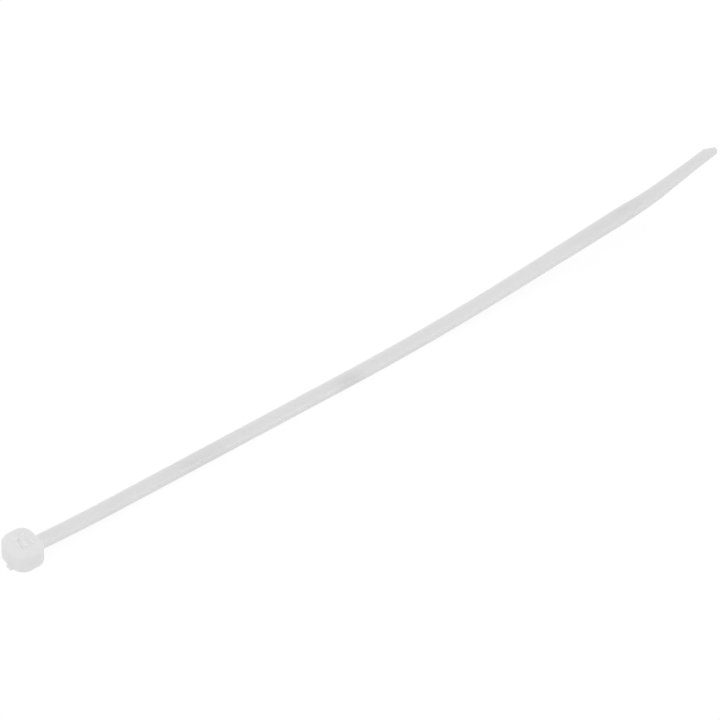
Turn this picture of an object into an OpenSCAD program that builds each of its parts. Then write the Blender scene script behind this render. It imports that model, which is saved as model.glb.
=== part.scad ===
// Self-locking cable tie moulded in one piece: a round-cornered head with a slot
// and a springy toothed pawl, and a ratchet-toothed strap that ends in a thin curled tail.
// The tie lies as it was put down, on its head and on the lowest part of the strap.
// X runs from the head to the tip, Y across the strap, Z up from the surface it lies on.
// The origin is in the middle of the slot, level with the base of the head.

/* [Strap] */
// Width of the strap
strap_w = 2.6; // [2.2:0.1:3]
// Thickness of the strap over its rails
strap_t = 1.15; // [0.9:0.05:1.3]
// Length of the middle line from the middle of the head to the tip
strap_len = 144; // [138:1:200]
// Width of each plain rail beside the teeth
rail_w = 0.5; // [0.4:0.05:0.6]
// Radius of the long edges of the smooth face
smooth_edge_r = 0.24; // [0.12:0.02:0.3]
// Radius of the long edges of the toothed face
rail_edge_r = 0.12; // [0.06:0.02:0.2]

/* [Ratchet teeth] */
// Spacing of the teeth
tooth_pitch = 1; // [0.9:0.05:1.2]
// Depth of the gaps between the teeth
tooth_depth = 0.42; // [0.3:0.02:0.5]
// Length of the flat floor of each gap
gap_floor = 0.2; // [0.15:0.05:0.3]
// Length of the flat crest of each tooth
crest_flat = 0.15; // [0.1:0.05:0.25]
// Lean of the locking face of each tooth
locking_lean = 0.06; // [0:0.02:0.12]
// Distance from the middle of the head to the first tooth
first_tooth = 12; // [8:1:30]
// Distance from the tip to the last tooth
plain_tail = 30; // [24:1:40]

/* [Lie of the strap] */
// Angle at which the strap leaves the head, downwards
root_fall = 4.3; // [3.9:0.1:5]
// Length over which that fall eases off
ease_run = 20; // [14:1:26]
// Angle by which it eases off
ease_bend = 3.8; // [3:0.1:3.9]
// Length of the even fall that follows
fall_run = 46; // [38:1:50]
// Length of the long rising bend
lift_run = 36; // [30:1:42]
// Angle of the long rising bend
lift_bend = 6.05; // [5:0.05:7]
// Length of the even rise that follows
rise_run = 25.5; // [22:0.5:28]
// Length of the curl near the tip
curl_run = 5; // [4:0.5:8]
// Angle of the curl near the tip
curl_bend = 8.7; // [6:0.1:12]

/* [Tail] */
// Width of the strap at the shoulder, where the tail starts
shoulder_w = 2.95; // [2.7:0.05:3.2]
// Distance from the tip to the shoulder
shoulder_back = 20; // [18:1:26]
// Length over which the strap widens to the shoulder
widening = 22; // [10:1:24]
// Length over which the tail narrows
narrowing = 15; // [12:1:17]
// Width of the narrow tail
tail_w = 2; // [1.6:0.1:2.2]
// Thickness of the strap at the tip
tip_t = 0.8; // [0.6:0.05:0.9]
// Length of the slanted cut at the tip
tip_slant = 1.9; // [1.6:0.1:2.6]
// Radius of the rounded point that the cut leaves
tip_r = 0.5; // [0.3:0.05:0.6]
// Radius of the corner where the cut meets the far edge
slant_r = 1.5; // [0.5:0.1:2.5]

/* [Head] */
// Length of the head, along the strap
head_len = 5.9; // [5.6:0.1:7]
// Width of the head
head_w = 6.8; // [6:0.1:7.6]
// Height of the head
head_h = 3.85; // [3.6:0.05:4.4]
// Radius of the head's upright corners on the side away from the strap
outer_corner_r = 2.4; // [1.6:0.1:2.6]
// Radius of the head's upright corners on the side of the strap
strap_corner_r = 2.1; // [1.6:0.1:2.6]
// Radius of the head's upper edge
rim_r = 0.8; // [0.3:0.05:1.1]
// Radius of the head's lower edge
foot_r = 0.5; // [0.3:0.05:0.8]
// Depth to which the strap is rooted in the head
root_depth = 0.9; // [0.5:0.1:1.2]
// Width of the strap where its flared root meets the head
root_w = 3.3; // [3:0.1:3.8]
// Length of that flare
root_flare = 0.6; // [0.4:0.1:1]

/* [Gate stub] */
// Width of the stub left at the foot of the outer wall, where the mould was filled
stub_w = 1.05; // [0.8:0.05:1.4]
// Height of the stub
stub_h = 1; // [0.7:0.05:1.2]
// Distance that the stub stands out from the wall
stub_out = 0.35; // [0.2:0.05:0.5]
// Distance of the stub from the middle of the head
stub_offset = 0.62; // [0.5:0.02:1]

/* [Slot and pawl] */
// Clearance of the slot beside each edge of the strap
slot_side_gap = 0.2; // [0.15:0.05:0.3]
// Clearance of the slot over the thickness of the strap
slot_gap = 0.12; // [0.08:0.02:0.2]
// Thickness of the wall outside the slot
outer_wall = 1.9; // [1.6:0.05:2]
// Flare of the slot's mouth, where the tail goes in
mouth_flare = 0.4; // [0.3:0.05:0.5]
// Height of that flare
mouth_h = 0.7; // [0.5:0.05:0.8]
// Thickness of the pawl at its upper end
pawl_t = 0.7; // [0.6:0.05:0.8]
// Thickness of the pawl at the hinge, its foot
hinge_t = 0.5; // [0.4:0.05:0.55]
// Height of the hinge over the base
hinge_z = 1.1; // [0.9:0.05:1.2]
// Gap beside each edge of the pawl
pawl_side_gap = 0.25; // [0.2:0.05:0.3]
// Gap behind the pawl, into which it springs
back_gap = 0.5; // [0.4:0.05:0.6]
// Distance of the pawl's upper end below the top of the head
pawl_drop = 0.2; // [0:0.05:0.4]
// Gap between a tooth of the pawl and the floor of the gap it locks in
seat_gap = 0.06; // [0.04:0.01:0.1]

/* [Hidden] */
nylon = [0.88, 0.88, 0.87];
eps = 0.01;
past_face = 0.05;
smooth = 96;
hull_fn = 32;
smooth_edge_parts = 4;
rail_edge_parts = 2;

// Middle line: stretches from the head to the tip, each with its length and its bend
tip_run = strap_len - ease_run - fall_run - lift_run - rise_run - curl_run;
stretches = [
    [ease_run, ease_bend],
    [fall_run, 0],
    [lift_run, lift_bend],
    [rise_run, 0],
    [curl_run, curl_bend],
    [tip_run, 0]
];
begins = [for (i = 0, s = 0; i < len(stretches); s = s + stretches[i][0], i = i + 1) s];
all_stretches = [0:len(stretches) - 1];

function clamp(v, top) = max(0, min(v, top));
function total(list, i = 0) = i < len(list) ? list[i] + total(list, i + 1) : 0 * list[0];
// Length and bend of the part of stretch i that lies before the distance s
function length_in(i, s) = clamp(s - begins[i], stretches[i][0]);
function bend_in(i, s) = stretches[i][1] * length_in(i, s) / stretches[i][0];
// Pitch of the middle line at the distance s from the head
function pitch_at(s) = total([for (i = all_stretches) bend_in(i, s)]) - root_fall;
// Chord of an arc as a share of its length
function chord_share(bend) = abs(bend) < eps ? 1 : sin(bend / 2) / (bend / 2 * PI / 180);
function chord_in(i, s) =
    let (bend = bend_in(i, s), pitch = pitch_at(begins[i]) + bend / 2)
    length_in(i, s) * chord_share(bend) * [cos(pitch), sin(pitch)];
// Place of the middle line at the distance s, from its start in the head
function place_at(s) = total([for (i = all_stretches) chord_in(i, s)]);

// The strap touches the surface where its pitch passes zero, in the long rising bend
touch_s = ease_run + fall_run + lift_run * (root_fall - ease_bend) / lift_bend;
root_z = strap_t / 2 - place_at(touch_s)[1];

// Half of the strap's thickness, which thins from the shoulder to the tip
function half_t(s) =
    (strap_t - (strap_t - tip_t) * clamp(1 - (strap_len - s) / shoulder_back, 1)) / 2;
// A point at the height v over the middle line, square to it
function over(s, v) =
    let (pitch = pitch_at(s))
    place_at(s) + [-sin(pitch) * v, root_z + cos(pitch) * v];

// Width of the strap: flared at the root, wider at the shoulder, narrow at the tail
root_s = head_len / 2 - root_depth;
shoulder_s = strap_len - shoulder_back;
widths = [
    [head_len / 2, root_w],
    [head_len / 2 + root_flare, strap_w],
    [shoulder_s - widening, strap_w],
    [shoulder_s, shoulder_w],
    [shoulder_s + narrowing, tail_w]
];
function width_at(s) = lookup(s, widths);

// Distances at which the strap's section is set out: on every third crest, clear of the cuts
// between the teeth, and then closer together in the tail
teeth_end = strap_len - plain_tail;
tooth_count = floor((teeth_end - first_tooth) / tooth_pitch);
crest_step = 3 * tooth_pitch;
tail_step = 0.7;
stations = concat(
    [root_s, head_len / 2, head_len / 2 + root_flare],
    [for (s = first_tooth - crest_flat / 2 - crest_step; s < teeth_end; s = s + crest_step) s],
    [for (s = teeth_end + tail_step; s < strap_len - tail_step; s = s + tail_step) s],
    [strap_len]
);

// Slot and pawl, placed from the outer wall inwards
slot_w = strap_w + 2 * slot_side_gap;
slot_x = outer_wall - head_len / 2;
pawl_x = slot_x + strap_t + slot_gap;
pawl_w = slot_w - 2 * pawl_side_gap;
pawl_top = head_h - pawl_drop;
well_x = pawl_x + pawl_t + back_gap;
pawl_teeth = floor((pawl_top - hinge_z) / tooth_pitch);
pawl_tooth = tooth_depth - seat_gap;

// Corner of the section: a quarter round of radius r about [y, z], from the angle start,
// drawn in so many parts
function quarter(y, z, r, start, parts) =
    [for (i = [0:parts]) let (a = start + 90 * i / parts) [y + r * cos(a), z + r * sin(a)]];
// Section of the strap at the distance s: across, and square to the middle line
function section(s) =
    let (
        y_top = width_at(s) / 2 - smooth_edge_r,
        z_top = half_t(s) - smooth_edge_r,
        y_low = width_at(s) / 2 - rail_edge_r,
        z_low = half_t(s) - rail_edge_r
    )
    concat(
        quarter(y_top, z_top, smooth_edge_r, 0, smooth_edge_parts),
        quarter(-y_top, z_top, smooth_edge_r, 90, smooth_edge_parts),
        quarter(-y_low, -z_low, rail_edge_r, 180, rail_edge_parts),
        quarter(y_low, -z_low, rail_edge_r, 270, rail_edge_parts)
    );
// The section at the distance s, set out in space
function ring(s) = [for (q = section(s)) let (c = over(s, q[1])) [c[0], q[0], c[1]]];

// The strap without its teeth: its section carried along the middle line
module strap_band() {
    sides = len(section(root_s));
    last = (len(stations) - 1) * sides;
    polyhedron(
        points = [for (s = stations) each ring(s)],
        faces = concat(
            [[for (j = [0:sides - 1]) j]],
            [for (i = [0:len(stations) - 2], j = [0:sides - 1])
                let (a = i * sides + j, b = i * sides + (j + 1) % sides)
                each [[a, a + sides, b + sides], [a, b + sides, b]]],
            [[for (j = [sides - 1:-1:0]) last + j]]
        )
    );
}

// Side view of the gap before a tooth: a ramp down, a floor and the steep locking face. Both
// sides run on past the toothed face, so that they cut it cleanly.
module gap_side(s) {
    floor_v = tooth_depth - strap_t / 2;
    past_v = -strap_t / 2 - past_face;
    gap_end = s + tooth_pitch - crest_flat;
    ramp_run = gap_end - locking_lean - gap_floor - s;
    polygon([
        over(s - ramp_run * past_face / tooth_depth, past_v),
        over(s + ramp_run, floor_v),
        over(gap_end - locking_lean, floor_v),
        over(gap_end + locking_lean * past_face / tooth_depth, past_v)
    ]);
}

// Plan of what the slanted cut takes off the tip: it leaves the point round, and also the
// corner where the cut meets the far edge
module tip_waste() {
    tip_x = place_at(strap_len)[0];
    point = [tip_x - tip_r, tip_r - tail_w / 2];
    start = [tip_x - tip_slant, tail_w / 2];
    reach = start - point;
    slant = acos(tip_r / norm(reach)) - atan2(-reach[0], reach[1]);
    square_out = [sin(slant), cos(slant)];
    corner = start - slant_r * [tan(slant / 2), 1];
    back_x = corner[0] - tip_slant;
    difference() {
        translate([back_x, -shoulder_w]) square([3 * tip_slant, 2 * shoulder_w]);
        polygon([
            [back_x - eps, -tail_w],
            [point[0], -tail_w],
            point,
            point + tip_r * square_out,
            corner + slant_r * square_out,
            corner,
            [corner[0], tail_w],
            [back_x - eps, tail_w]
        ]);
        translate(point) circle(tip_r, $fn = smooth);
        translate(corner) circle(slant_r, $fn = smooth);
    }
}

// Stands a side view drawn in X and Z upright and extends it across to the width w
module across(w) {
    translate([0, w / 2, 0]) rotate([90, 0, 0]) linear_extrude(w) children();
}

module strap() {
    difference() {
        strap_band();
        across(strap_w - 2 * rail_w)
            for (i = [0:tooth_count - 1]) gap_side(first_tooth + i * tooth_pitch);
        linear_extrude(strap_len) tip_waste();
    }
}

// One corner post of the head, of radius r, with its upper and lower rims rounded
module corner_post(r) {
    rotate_extrude($fn = hull_fn) {
        square([r - rim_r, head_h]);
        translate([0, foot_r]) square([r, head_h - foot_r - rim_r]);
        translate([r - foot_r, foot_r]) circle(foot_r, $fn = hull_fn);
        translate([r - rim_r, head_h - rim_r]) circle(rim_r, $fn = hull_fn);
    }
}

module head_block() {
    hull()
        for (side = [-1, 1]) {
            translate([outer_corner_r - head_len / 2, side * (head_w / 2 - outer_corner_r), 0])
                corner_post(outer_corner_r);
            translate([head_len / 2 - strap_corner_r, side * (head_w / 2 - strap_corner_r), 0])
                corner_post(strap_corner_r);
        }
}

// Stub at the foot of the outer wall, where the moulding was broken off its runner
module gate_stub() {
    translate([-head_len / 2 - stub_out, -stub_offset - stub_w / 2, 0])
        cube([stub_out + foot_r, stub_w, stub_h]);
}

// Side view of the room inside the head: the slot with its flared mouth, and the pawl's well
module room_side() {
    polygon([
        [slot_x - mouth_flare, -eps],
        [slot_x, mouth_h],
        [slot_x, head_h + eps],
        [well_x, head_h + eps],
        [well_x, hinge_z + back_gap],
        [pawl_x + hinge_t + back_gap, hinge_z],
        [pawl_x, hinge_z],
        [pawl_x, mouth_h],
        [pawl_x + mouth_flare, -eps]
    ]);
}

// Side view of the pawl: thin at the hinge, thicker at its upper end, with teeth to the slot
module pawl_side() {
    polygon(concat(
        [[pawl_x, hinge_z - eps]],
        [for (i = [0:pawl_teeth - 1], end = [0, 1, 2])
            let (top = hinge_z + (i + 1) * tooth_pitch)
            end == 0 ? [pawl_x - pawl_tooth, top - locking_lean - gap_floor / 2] :
            end == 1 ? [pawl_x - pawl_tooth, top - locking_lean] :
            [pawl_x, top]],
        [
            [pawl_x, pawl_top],
            [pawl_x + pawl_t, pawl_top],
            [pawl_x + hinge_t, hinge_z],
            [pawl_x + hinge_t, hinge_z - eps]
        ]
    ));
}

module head() {
    difference() {
        union() {
            head_block();
            gate_stub();
        }
        across(slot_w) room_side();
    }
    across(pawl_w) pawl_side();
}

module cable_tie() {
    slot_mid = (slot_x + pawl_x) / 2;
    color(nylon) translate([-slot_mid, 0, 0]) {
        head();
        strap();
    }
}

cable_tie();
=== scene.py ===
"""Cable tie moulded in natural nylon, lying on a white light table in even light.

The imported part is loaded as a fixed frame. The tie shown here is a copy of that part with
its sharp edges softened, and the script adds its finish, the table, the lights and the camera.
X runs from the head to the tip, Y across the strap and Z up. The origin is in the middle of
the slot, level with the base of the head.
"""

import math

import bmesh
import bpy
from mathutils import Matrix, Vector


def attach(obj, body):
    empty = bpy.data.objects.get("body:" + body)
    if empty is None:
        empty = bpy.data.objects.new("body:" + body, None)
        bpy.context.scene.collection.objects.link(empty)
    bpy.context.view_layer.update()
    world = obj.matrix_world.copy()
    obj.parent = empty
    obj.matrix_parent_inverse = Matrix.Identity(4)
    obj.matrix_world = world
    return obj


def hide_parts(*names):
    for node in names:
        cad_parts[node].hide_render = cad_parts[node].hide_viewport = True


bl_info = {
    "name": "Cable tie in natural nylon",
    "version": (1, 0, 0),
    "blender": (4, 5, 0),
    "location": "3D View > Sidebar > Cable tie",
    "description": "Finishes a moulded cable tie and sets up a white light table to show it on",
    "category": "Object",
}

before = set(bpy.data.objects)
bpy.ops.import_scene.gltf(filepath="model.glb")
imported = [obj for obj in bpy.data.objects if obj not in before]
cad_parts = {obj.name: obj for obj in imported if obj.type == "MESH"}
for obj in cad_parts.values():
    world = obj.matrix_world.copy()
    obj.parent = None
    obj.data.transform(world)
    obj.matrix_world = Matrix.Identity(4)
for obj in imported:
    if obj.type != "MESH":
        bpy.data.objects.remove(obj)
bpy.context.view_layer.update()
TIE_NODE = "cable_tie"
MM = 0.001

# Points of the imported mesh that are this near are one, and so are faces this nearly level
SLIVER = 0.02 * MM
LEVEL_ANGLE = math.radians(0.3)
# Edges that turn by more than this show as creases
CREASE_ANGLE = math.radians(40)

# Places where the finish changes, each with where the change starts and where it is complete
TAIL_X = (108 * MM, 118 * MM)
HEAD_X = (5 * MM, 3.4 * MM)
# The slot, the pawl and the gap behind it, with a little of the walls round them, where light is
# painted in
SLOT_START_X = (-1.0 * MM, -0.9 * MM)
SLOT_END_X = (2.1 * MM, 2.0 * MM)
SLOT_SIDE_Y = (1.65 * MM, 1.55 * MM)
SLOT_TOP_Z = (3.84 * MM, 3.8 * MM)
ABOVE_MOUTH_Z = (0.6 * MM, 1.2 * MM)
DEEP_IN_SLOT_Z = (2.7 * MM, 1.9 * MM)
# From near the strap's edge towards +Y to near its edge towards -Y
ACROSS_STRAP_Y = (1.2 * MM, -1.2 * MM)
# Darker patches: place along the strap, reach, and share of their tone at either edge. The first
# is painted shadow where the strap touches the table; the second is a darker patch on the tail.
DARK_PATCHES = ((66.8 * MM, 4.5 * MM, 0.04, 0.42), (125.5 * MM, 4.0 * MM, 0.18, 0.06))
# Noise between which the clouds build up, and the share of their tone there
CLOUDED = (0.5, 0.8, 0.0, 0.55)
# Clouds are longer than their size along the strap, and shorter across it
CLOUD_STRETCH = (0.6, 1.6, 1.6)
GRAIN_DEPTH = 0.01 * MM

# The table's middle is under the strap, a little lower than the tie's lowest points
TABLE_MIDDLE = Vector((60, 0, -0.01)) * MM
TOWARDS_KEY = Vector((-0.2, 0.3, 0.9))
KEY_SPREAD = math.radians(80)

# The camera stands on the -Y side, turned round the upright axis from there and raised
CAMERA_TURN = math.radians(-37)
CAMERA_RISE = math.radians(46)
CAMERA_AIM = Vector((58.503, -14.726, 22.634)) * MM
# Its distance with this lens. It stands farther off with a longer one, so the tie's size stays.
CAMERA_DISTANCE = 2619.34 * MM
CAMERA_LENS = 800.0


def from_hex(code):
    """Linear colour of an sRGB hex code."""
    parts = [int(code[i : i + 2], 16) / 255 for i in (0, 2, 4)]
    return tuple(p / 12.92 if p <= 0.04045 else ((p + 0.055) / 1.055) ** 2.4 for p in parts)


def length(name, description, default, low, high):
    """A length in metres that is given here in millimetres."""
    return bpy.props.FloatProperty(
        name=name,
        description=description,
        default=default * MM,
        min=low * MM,
        max=high * MM,
        precision=5,
        subtype="DISTANCE",
        unit="LENGTH",
    )


def colour(name, description, code):
    """A linear colour that is given here as an sRGB hex code."""
    return bpy.props.FloatVectorProperty(
        name=name,
        description=description,
        default=from_hex(code),
        size=3,
        min=0.0,
        max=1.0,
        subtype="COLOR",
    )


def amount(name, description, default, high, subtype="NONE"):
    """A number from 0 to high, such as a strength or a share."""
    return bpy.props.FloatProperty(
        name=name,
        description=description,
        default=default,
        min=0.0,
        max=high,
        precision=3,
        subtype=subtype,
    )


class NylonFinish(bpy.types.PropertyGroup):
    """Finish of the moulded tie."""

    edge_radius: length("Edge radius", "Radius of the sharp edges", 0.04, 0.01, 0.05)
    thin_tone: colour("Strap", "Colour of the strap, which is thin", "E8E8E8")
    # Painted shade on the tail, the thinnest part, whose top turns away from the light
    tail_shade_tone: colour("Tail", "Colour of the tail, the thinnest part", "E5E5E5")
    thick_tone: colour("Head", "Colour of the head, which is thick", "EFEFEF")
    # Painted light inside the slot, for the light that comes through its walls
    slot_painted_light: colour("Slot", "Colour inside the slot, lit through the walls", "FDFDFD")
    cloud_tone: colour("Clouding", "Colour of the faint darker clouds", "DBDBDB")
    # Painted shadow where the strap touches the table, and a darker patch on the tail
    dark_patch_tone: colour("Spots", "Colour where the strap cooled last", "CFCFCF")
    cloud_size: length("Cloud size", "Distance between two clouds", 14.0, 4.0, 40.0)
    grain_size: length("Grain size", "Distance between two grains", 0.35, 0.1, 1.0)
    light_path: length("Light path", "How far light runs inside the nylon", 1.5, 0.1, 5.0)
    slot_path: length("Slot light path", "How far it runs round the slot", 5.0, 0.1, 10.0)
    # Painted glow: the slot's faces give off this light themselves
    slot_glow: amount("Slot glow", "Light that comes through the slot's walls", 0.055, 0.5)
    deep_glow: amount("Deep slot glow", "The same in the lower half of the slot", 0.13, 0.5)


class StudioSettings(bpy.types.PropertyGroup):
    """Table, lights and camera."""

    table_tone: colour("Table", "Colour of the table top", "FFFFFF")
    table_radius: length("Table radius", "Radius of the table top", 3000.0, 500.0, 9000.0)
    key_strength: amount("Key light", "Strength of the broad light from above", 0.15, 5.0)
    sky_strength: amount("Surrounding light", "Strength of the even light", 0.774, 1.0)
    shadow_share: amount(
        "Shadow", "Share of the tie's shadow that the table shows", 0.25, 0.9, "FACTOR"
    )
    lens: bpy.props.FloatProperty(
        name="Lens",
        description="Focal length",
        default=CAMERA_LENS,
        min=50.0,
        max=1500.0,
        unit="CAMERA",
    )


def add(tree, kind, settings=None):
    """Adds a node with its settings: properties by name, inputs by name or number.

    An input that is given another node's output is linked to it.
    """
    node = tree.nodes.new(kind)
    for name, value in (settings or {}).items():
        if isinstance(name, str) and hasattr(node, name):
            setattr(node, name, value)
        elif isinstance(value, bpy.types.NodeSocket):
            tree.links.new(value, node.inputs[name])
        else:
            node.inputs[name].default_value = value
    return node


def graded(tree, *changes, share=None):
    """A value that is graded over the tie: the product of smooth changes, and of a share.

    Each change is a source, where the change starts and where it is complete. It runs from 0
    to 1 between these, or between the two values that follow them.
    """
    for source, start, end, *values in changes:
        low, high = values or (0.0, 1.0)
        ramp = {
            "interpolation_type": "SMOOTHSTEP",
            "Value": source,
            "From Min": start,
            "From Max": end,
            "To Min": low,
            "To Max": high,
        }
        step = add(tree, "ShaderNodeMapRange", ramp).outputs["Result"]
        if share is None:
            share = step
        else:
            product = {"operation": "MULTIPLY", 0: share, 1: step}
            share = add(tree, "ShaderNodeMath", product).outputs[0]
    return share


def strength_by_ray(tree, level, white):
    """Strength of a background: level where it lights things, and white where it is seen.

    It is seen directly, mirrored or through glass.
    """
    path = add(tree, "ShaderNodeLightPath").outputs
    seen = path["Is Camera Ray"]
    for kind in ("Is Glossy Ray", "Is Transmission Ray"):
        either = {"operation": "MAXIMUM", 0: seen, 1: path[kind]}
        seen = add(tree, "ShaderNodeMath", either).outputs[0]
    strength = add(tree, "ShaderNodeMapRange", {"Value": seen, "To Min": level, "To Max": white})
    return strength.outputs["Result"]


def new_material(name):
    """A material with an empty node tree."""
    material = bpy.data.materials.new(name)
    material.use_nodes = True
    material.node_tree.nodes.clear()
    return material


def natural_nylon(finish):
    """Nylon without pigment, injection moulded: milky, satin and a little translucent.

    The eye sees a soft edge glow, whiter thick parts, faint clouds from uneven cooling and
    the dull, very fine grain of an eroded mould. Shade on the tail and where the strap
    touches the table, and light inside the slot, are painted into it.
    """
    material = new_material("nylon_natural_moulded")
    tree = material.node_tree
    place = add(tree, "ShaderNodeTexCoord").outputs["Object"]
    x, y, z = add(tree, "ShaderNodeSeparateXYZ", {"Vector": place}).outputs
    from_middle = add(tree, "ShaderNodeMath", {"operation": "ABSOLUTE", 0: y}).outputs[0]
    in_slot = graded(
        tree,
        (x, *SLOT_START_X),
        (x, *SLOT_END_X),
        (from_middle, *SLOT_SIDE_Y),
        (z, *SLOT_TOP_Z),
    )

    # Clouds are drawn out along the strap, the way that the melt ran
    along = add(tree, "ShaderNodeMapping", {"Vector": place, "Scale": CLOUD_STRETCH})
    clouds = add(
        tree,
        "ShaderNodeTexNoise",
        {
            "Vector": along.outputs[0],
            "Scale": 1 / finish.cloud_size,
            "Detail": 3.0,
            "Roughness": 0.55,
        },
    ).outputs["Fac"]

    # Thin parts let more light through, so they look a little darker than thick ones. The tail's
    # tone is painted shade: it is the thinnest part, and its top turns away from the light.
    # Each tone lies over those before it, and the first one over the strap's own.
    # The first dark patch is painted shadow where the strap touches the table
    dark_patches = [
        graded(
            tree, (x, at - reach, at), (x, at + reach, at), (y, *ACROSS_STRAP_Y, first, last)
        )
        for at, reach, first, last in DARK_PATCHES
    ]
    tones = (
        (graded(tree, (x, *TAIL_X)), finish.tail_shade_tone),
        *((spot, finish.dark_patch_tone) for spot in dark_patches),
        (graded(tree, (clouds, *CLOUDED)), finish.cloud_tone),
        (graded(tree, (x, *HEAD_X)), finish.thick_tone),
        # Painted light inside the slot
        (in_slot, finish.slot_painted_light),
    )
    tone = (*finish.thin_tone, 1)
    for share, over in tones:
        mix = {"data_type": "RGBA", 0: share, 6: tone, 7: (*over, 1)}
        tone = add(tree, "ShaderNodeMix", mix).outputs[2]

    # Painted glow: the slot's faces give off light of their own, in place of the light from the
    # table that comes in through its walls, most of it low down
    glow = graded(
        tree,
        (z, *ABOVE_MOUTH_Z),
        (z, *DEEP_IN_SLOT_Z, finish.slot_glow, finish.deep_glow),
        share=in_slot,
    )
    light_path = graded(tree, (in_slot, 0.0, 1.0, finish.light_path, finish.slot_path))

    # The mould's grain is about 0.03 mm, too fine to show, so it is drawn coarser and weak
    grain = add(
        tree,
        "ShaderNodeTexNoise",
        {"Vector": place, "Scale": 1 / finish.grain_size, "Detail": 2.0, "Roughness": 0.6},
    )
    bump = add(
        tree,
        "ShaderNodeBump",
        {"Height": grain.outputs["Fac"], "Strength": 0.25, "Distance": GRAIN_DEPTH},
    )
    # Clouded parts are duller
    dullness = add(
        tree,
        "ShaderNodeMapRange",
        {"Value": clouds, "From Min": 0.3, "From Max": 0.7, "To Min": 0.4, "To Max": 0.56},
    )

    shader = add(
        tree,
        "ShaderNodeBsdfPrincipled",
        {
            "Base Color": tone,
            "Roughness": dullness.outputs["Result"],
            "IOR": 1.53,
            "Specular IOR Level": 0.3,
            "Normal": bump.outputs["Normal"],
            "Subsurface Weight": 1.0,
            "Subsurface Radius": (1.0, 0.99, 0.97),
            "Subsurface Scale": light_path,
            # The painted glow in the slot
            "Emission Color": (1, 1, 1, 1),
            "Emission Strength": glow,
        },
    )
    add(tree, "ShaderNodeOutputMaterial", {"Surface": shader.outputs["BSDF"]})
    return material


def white_table(studio):
    """Opal acrylic, lit from behind: a white light table that shows only a faint shadow.

    From below it can be seen through, so that the underside of the tie can be looked at.
    """
    material = new_material("acrylic_opal_lit")
    tree = material.node_tree
    keep, level = studio.shadow_share, studio.sky_strength
    # The matt share keeps the shadow and sends back only the even light, so the lit share
    # makes up for it, and the table is pure white where no shadow falls
    white = (1.0 - keep * level) / (1.0 - keep)
    lit = add(tree, "ShaderNodeEmission", {"Strength": strength_by_ray(tree, level, white)})
    matt = add(tree, "ShaderNodeBsdfDiffuse", {"Color": (*studio.table_tone, 1)})
    top = add(tree, "ShaderNodeMixShader", {0: keep, 1: lit.outputs[0], 2: matt.outputs[0]})
    clear = add(tree, "ShaderNodeBsdfTransparent")
    below = add(tree, "ShaderNodeNewGeometry").outputs["Backfacing"]
    both = add(tree, "ShaderNodeMixShader", {0: below, 1: top.outputs[0], 2: clear.outputs[0]})
    add(tree, "ShaderNodeOutputMaterial", {"Surface": both.outputs[0]})
    return material


def to_object(bm, name):
    """Turns a finished bmesh into an object of the scene."""
    mesh = bpy.data.meshes.new(name)
    bm.to_mesh(mesh)
    bm.free()
    made = bpy.data.objects.new(name, mesh)
    bpy.context.scene.collection.objects.link(made)
    return made


def merged_copy(node):
    """A bmesh of a node's mesh with its loose triangles joined and its flat faces made whole."""
    bm = bmesh.new()
    bm.from_mesh(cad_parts[node].data)
    bmesh.ops.remove_doubles(bm, verts=bm.verts, dist=SLIVER)
    bmesh.ops.dissolve_degenerate(bm, edges=bm.edges, dist=SLIVER)
    bmesh.ops.dissolve_limit(
        bm,
        angle_limit=LEVEL_ANGLE,
        use_dissolve_boundaries=False,
        verts=bm.verts,
        edges=bm.edges,
    )
    return bm


def soften(bm, radius, least_angle=math.radians(28), least_length=0.1 * MM, last_x=138 * MM):
    """Rounds the edges that turn by more than least_angle.

    Edges that meet a very short one stay as they are, as a bevel there would stick out, and so
    do those of the tail's end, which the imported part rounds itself.
    """
    crowded = {v for e in bm.edges if e.calc_length() < least_length for v in e.verts}
    sharp = [
        e
        for e in bm.edges
        if e.is_manifold
        and e.calc_face_angle() > least_angle
        and crowded.isdisjoint(e.verts)
        and max(v.co.x for v in e.verts) < last_x
    ]
    bmesh.ops.bevel(
        bm,
        geom=sharp,
        offset=radius,
        offset_type="OFFSET",
        affect="EDGES",
        segments=2,
        profile=0.5,
        material=-1,
        clamp_overlap=False,
    )


class CABLETIE_OT_tie(bpy.types.Operator):
    """Makes the tie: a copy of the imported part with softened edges, in natural nylon"""

    bl_idname = "cabletie.tie"
    bl_label = "Tie"

    def execute(self, context):
        if TIE_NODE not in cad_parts:
            raise RuntimeError(f"The packed part has no node {TIE_NODE}")
        finish = context.scene.nylon_finish
        bm = merged_copy(TIE_NODE)
        soften(bm, finish.edge_radius)
        tie = to_object(bm, "tie_moulding")
        tie.data.shade_smooth()
        tie.data.set_sharp_from_angle(angle=CREASE_ANGLE)
        flatten = tie.modifiers.new("even_shading", "WEIGHTED_NORMAL")
        flatten.keep_sharp = True
        tie.data.materials.append(natural_nylon(finish))
        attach(tie, "root")
        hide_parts(TIE_NODE)
        return {"FINISHED"}


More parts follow.
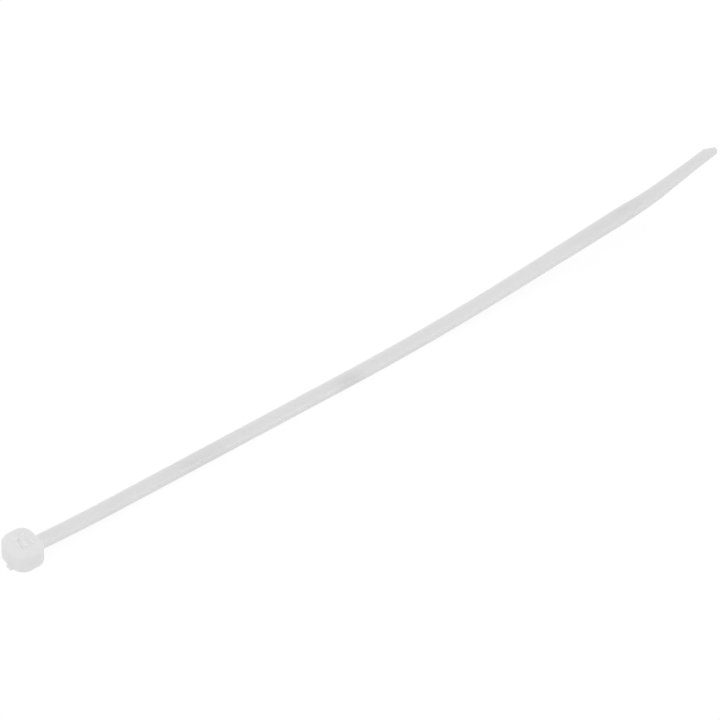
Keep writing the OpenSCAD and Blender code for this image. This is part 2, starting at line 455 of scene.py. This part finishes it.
class CABLETIE_OT_studio(bpy.types.Operator):
    """Makes the table, the lights and the camera"""

    bl_idname = "cabletie.studio"
    bl_label = "Studio"

    def execute(self, context):
        studio = context.scene.tie_studio
        self.make_table(studio)
        self.make_lights(context, studio)
        self.make_camera(context, studio)
        return {"FINISHED"}

    def make_table(self, studio):
        bm = bmesh.new()
        bmesh.ops.create_circle(bm, cap_ends=True, radius=studio.table_radius, segments=64)
        table = to_object(bm, "table_top")
        table.data.transform(Matrix.Translation(TABLE_MIDDLE))
        table.data.materials.append(white_table(studio))

    def make_lights(self, context, studio):
        world = bpy.data.worlds.new("even_light")
        world.use_nodes = True
        tree = world.node_tree
        tree.nodes.clear()
        strength = strength_by_ray(tree, studio.sky_strength, 1.0)
        sky = add(tree, "ShaderNodeBackground", {"Color": (1, 1, 1, 1), "Strength": strength})
        add(tree, "ShaderNodeOutputWorld", {"Surface": sky.outputs[0]})
        context.scene.world = world

        lamp = bpy.data.lights.new("key_light", "SUN")
        lamp.energy = studio.key_strength
        lamp.angle = KEY_SPREAD
        key = bpy.data.objects.new("key_light", lamp)
        context.scene.collection.objects.link(key)
        key.rotation_euler = (-TOWARDS_KEY).to_track_quat("-Z", "Y").to_euler()

    def make_camera(self, context, studio):
        data = bpy.data.cameras.new("camera")
        data.sensor_width = 36.0
        data.lens = studio.lens
        data.clip_start, data.clip_end = 0.1, 20.0
        camera = bpy.data.objects.new("camera", data)
        context.scene.collection.objects.link(camera)
        across, up = math.cos(CAMERA_RISE), math.sin(CAMERA_RISE)
        back = Vector((math.sin(CAMERA_TURN) * across, -math.cos(CAMERA_TURN) * across, up))
        camera.location = CAMERA_AIM + back * CAMERA_DISTANCE * studio.lens / CAMERA_LENS
        camera.rotation_euler = (-back).to_track_quat("-Z", "Y").to_euler()
        context.scene.camera = camera
        context.scene.view_settings.view_transform = "Standard"


class CABLETIE_PT_panel(bpy.types.Panel):
    """Lists the settings and the steps"""

    bl_idname = "CABLETIE_PT_panel"
    bl_label = "Cable tie"
    bl_space_type = "VIEW_3D"
    bl_region_type = "UI"
    bl_category = "Cable tie"

    def draw(self, context):
        for group in (context.scene.nylon_finish, context.scene.tie_studio):
            box = self.layout.box()
            for name in group.__annotations__:
                box.prop(group, name)
        for operator in OPERATORS:
            self.layout.operator(operator.bl_idname)


OPERATORS = (CABLETIE_OT_tie, CABLETIE_OT_studio)
CLASSES = (NylonFinish, StudioSettings, *OPERATORS, CABLETIE_PT_panel)


def register():
    for cls in CLASSES:
        bpy.utils.register_class(cls)
    bpy.types.Scene.nylon_finish = bpy.props.PointerProperty(type=NylonFinish)
    bpy.types.Scene.tie_studio = bpy.props.PointerProperty(type=StudioSettings)


def unregister():
    del bpy.types.Scene.tie_studio
    del bpy.types.Scene.nylon_finish
    for cls in reversed(CLASSES):
        bpy.utils.unregister_class(cls)


def main():
    """Makes everything."""
    register()
    bpy.ops.cabletie.tie()
    bpy.ops.cabletie.studio()


if __name__ == "__main__":
    main()
